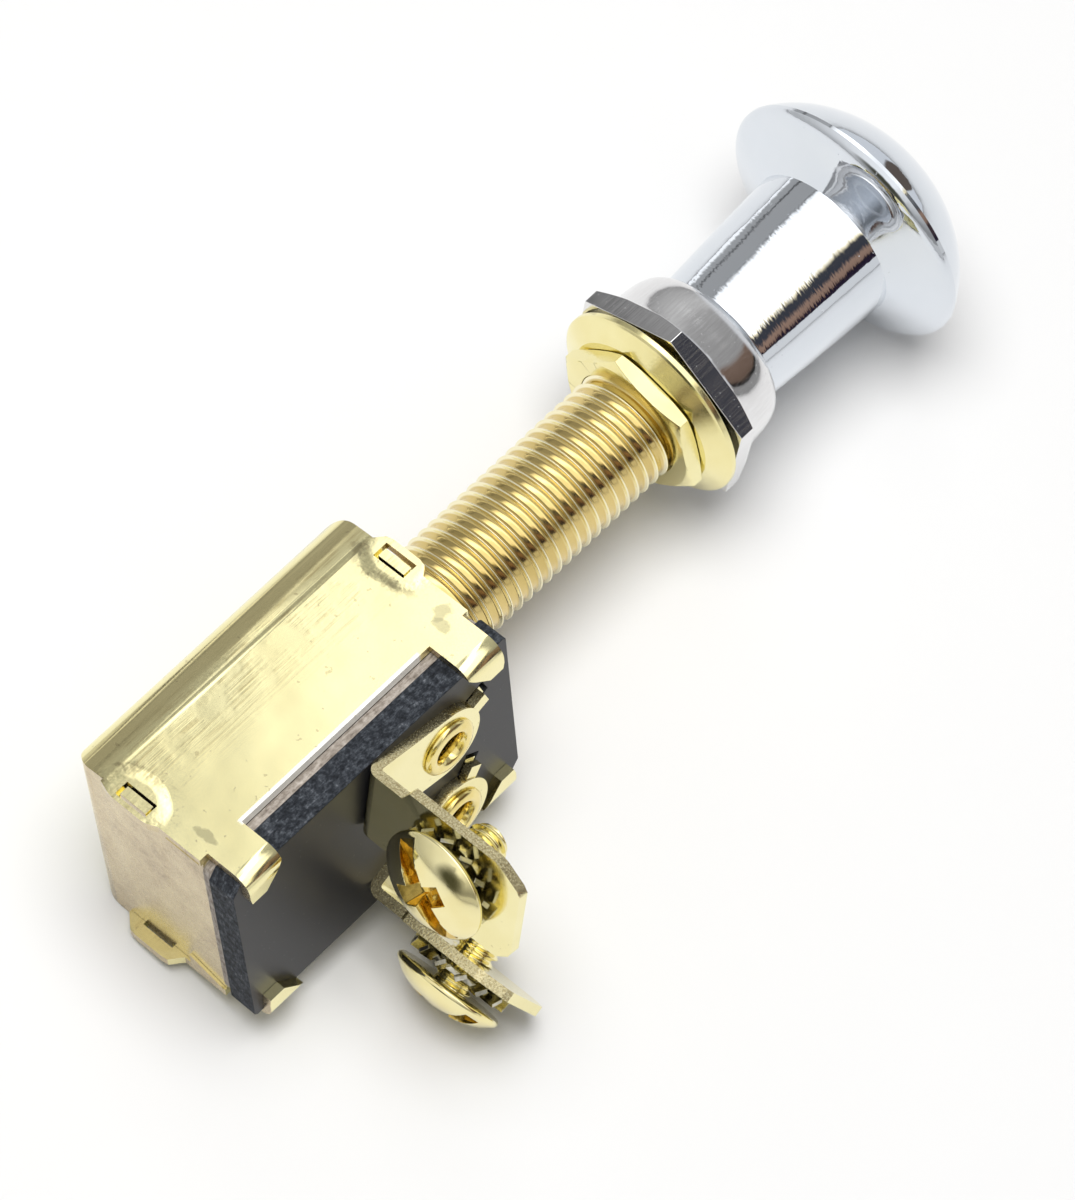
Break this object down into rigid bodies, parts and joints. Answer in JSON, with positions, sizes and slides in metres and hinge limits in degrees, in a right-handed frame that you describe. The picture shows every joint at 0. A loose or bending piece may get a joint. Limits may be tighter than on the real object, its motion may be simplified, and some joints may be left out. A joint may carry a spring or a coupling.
{
  "type": "push-pull switch",
  "caption": "Panel-mount push-pull switch: threaded bushing, pull knob, folded sheet case and screw terminals on an insulating board.",
  "frame": {"origin": "on the bushing's axis, in the plane of the panel face (rear face of the dress nut)", "axes": "-Y along the bushing toward the knob, -X toward the terminal board, +Z out of the case's top wall"},
  "size_m": [0.0435, 0.0998, 0.0309],
  "materials": {
    "chrome": "polished",
    "steel": "plain",
    "pale_brass": "plated, bright",
    "brass": "turned, bright",
    "case_brass": "brass-plated sheet, satin",
    "rivet_brass": "bright",
    "screw_brass": "plated, bright",
    "zinc_steel": "plated",
    "fibre": "fibre sheet",
    "phenolic": "paper laminate",
    "moulding": "moulded"
  },
  "bodies": {
    "root": {"case": "case_brass", "insulating_sheet": "fibre", "terminal_board": "phenolic", "terminal_upper": "pale_brass", "terminal_lower": "pale_brass", "rivet_upper": "rivet_brass", "rivet_lower": "rivet_brass", "contact_upper": "pale_brass", "contact_lower": "pale_brass", "bushing": "brass", "dress_nut": "chrome"},
    "plunger": {"knob": "chrome", "plunger_rod": "steel", "carriage": "moulding", "bridge_contact": "pale_brass", "contact_spring": "steel", "detent_spring": "steel", "detent_ball": "steel", "retaining_clip": "steel"},
    "washer": {"panel_washer": "pale_brass"},
    "back_nut": {"jam_nut": "pale_brass"},
    "upper_lock": {"lock_washer_upper": "zinc_steel"},
    "upper_screw": {"screw_upper": "screw_brass"},
    "lower_lock": {"lock_washer_lower": "zinc_steel"},
    "lower_screw": {"screw_lower": "screw_brass"}
  },
  "joints": [
    {"name": "knob_pull", "type": "slide", "parent": "root", "child": "plunger", "axis": [0, -1, 0], "range_m": [0, 0.009]},
    {"name": "washer_slide", "type": "slide", "parent": "root", "child": "washer", "axis": [0, 1, 0], "range_m": [0, 0.0254]},
    {"name": "jam_nut_turn", "type": "hinge", "parent": "washer", "child": "back_nut", "pos_m": [0, 0.003, 0], "axis": [0, 1, 0], "range_deg": [0, 7201]},
    {"name": "upper_screw_out", "type": "slide", "parent": "root", "child": "upper_lock", "axis": [0, 0.9744, 0.225], "range_m": [0, 0.004]},
    {"name": "upper_screw_turn", "type": "hinge", "parent": "upper_lock", "child": "upper_screw", "pos_m": [-0.02237, 0.05187, 0.00632], "axis": [0, 0.9744, 0.225], "range_deg": [0, 1815.06]},
    {"name": "lower_screw_out", "type": "slide", "parent": "root", "child": "lower_lock", "axis": [0, 0.9135, -0.4067], "range_m": [0, 0.004]},
    {"name": "lower_screw_turn", "type": "hinge", "parent": "lower_lock", "child": "lower_screw", "pos_m": [-0.02212, 0.05164, -0.01252], "axis": [0, 0.9135, -0.4067], "range_deg": [0, 1815.06]}
  ],
  "couplings": [
    {"joint": "jam_nut_turn", "follows": "washer_slide", "rad_per_m": 4947.4},
    {"joint": "upper_screw_turn", "follows": "upper_screw_out", "rad_per_m": 7915.3},
    {"joint": "lower_screw_turn", "follows": "lower_screw_out", "rad_per_m": 7915.3}
  ]
}
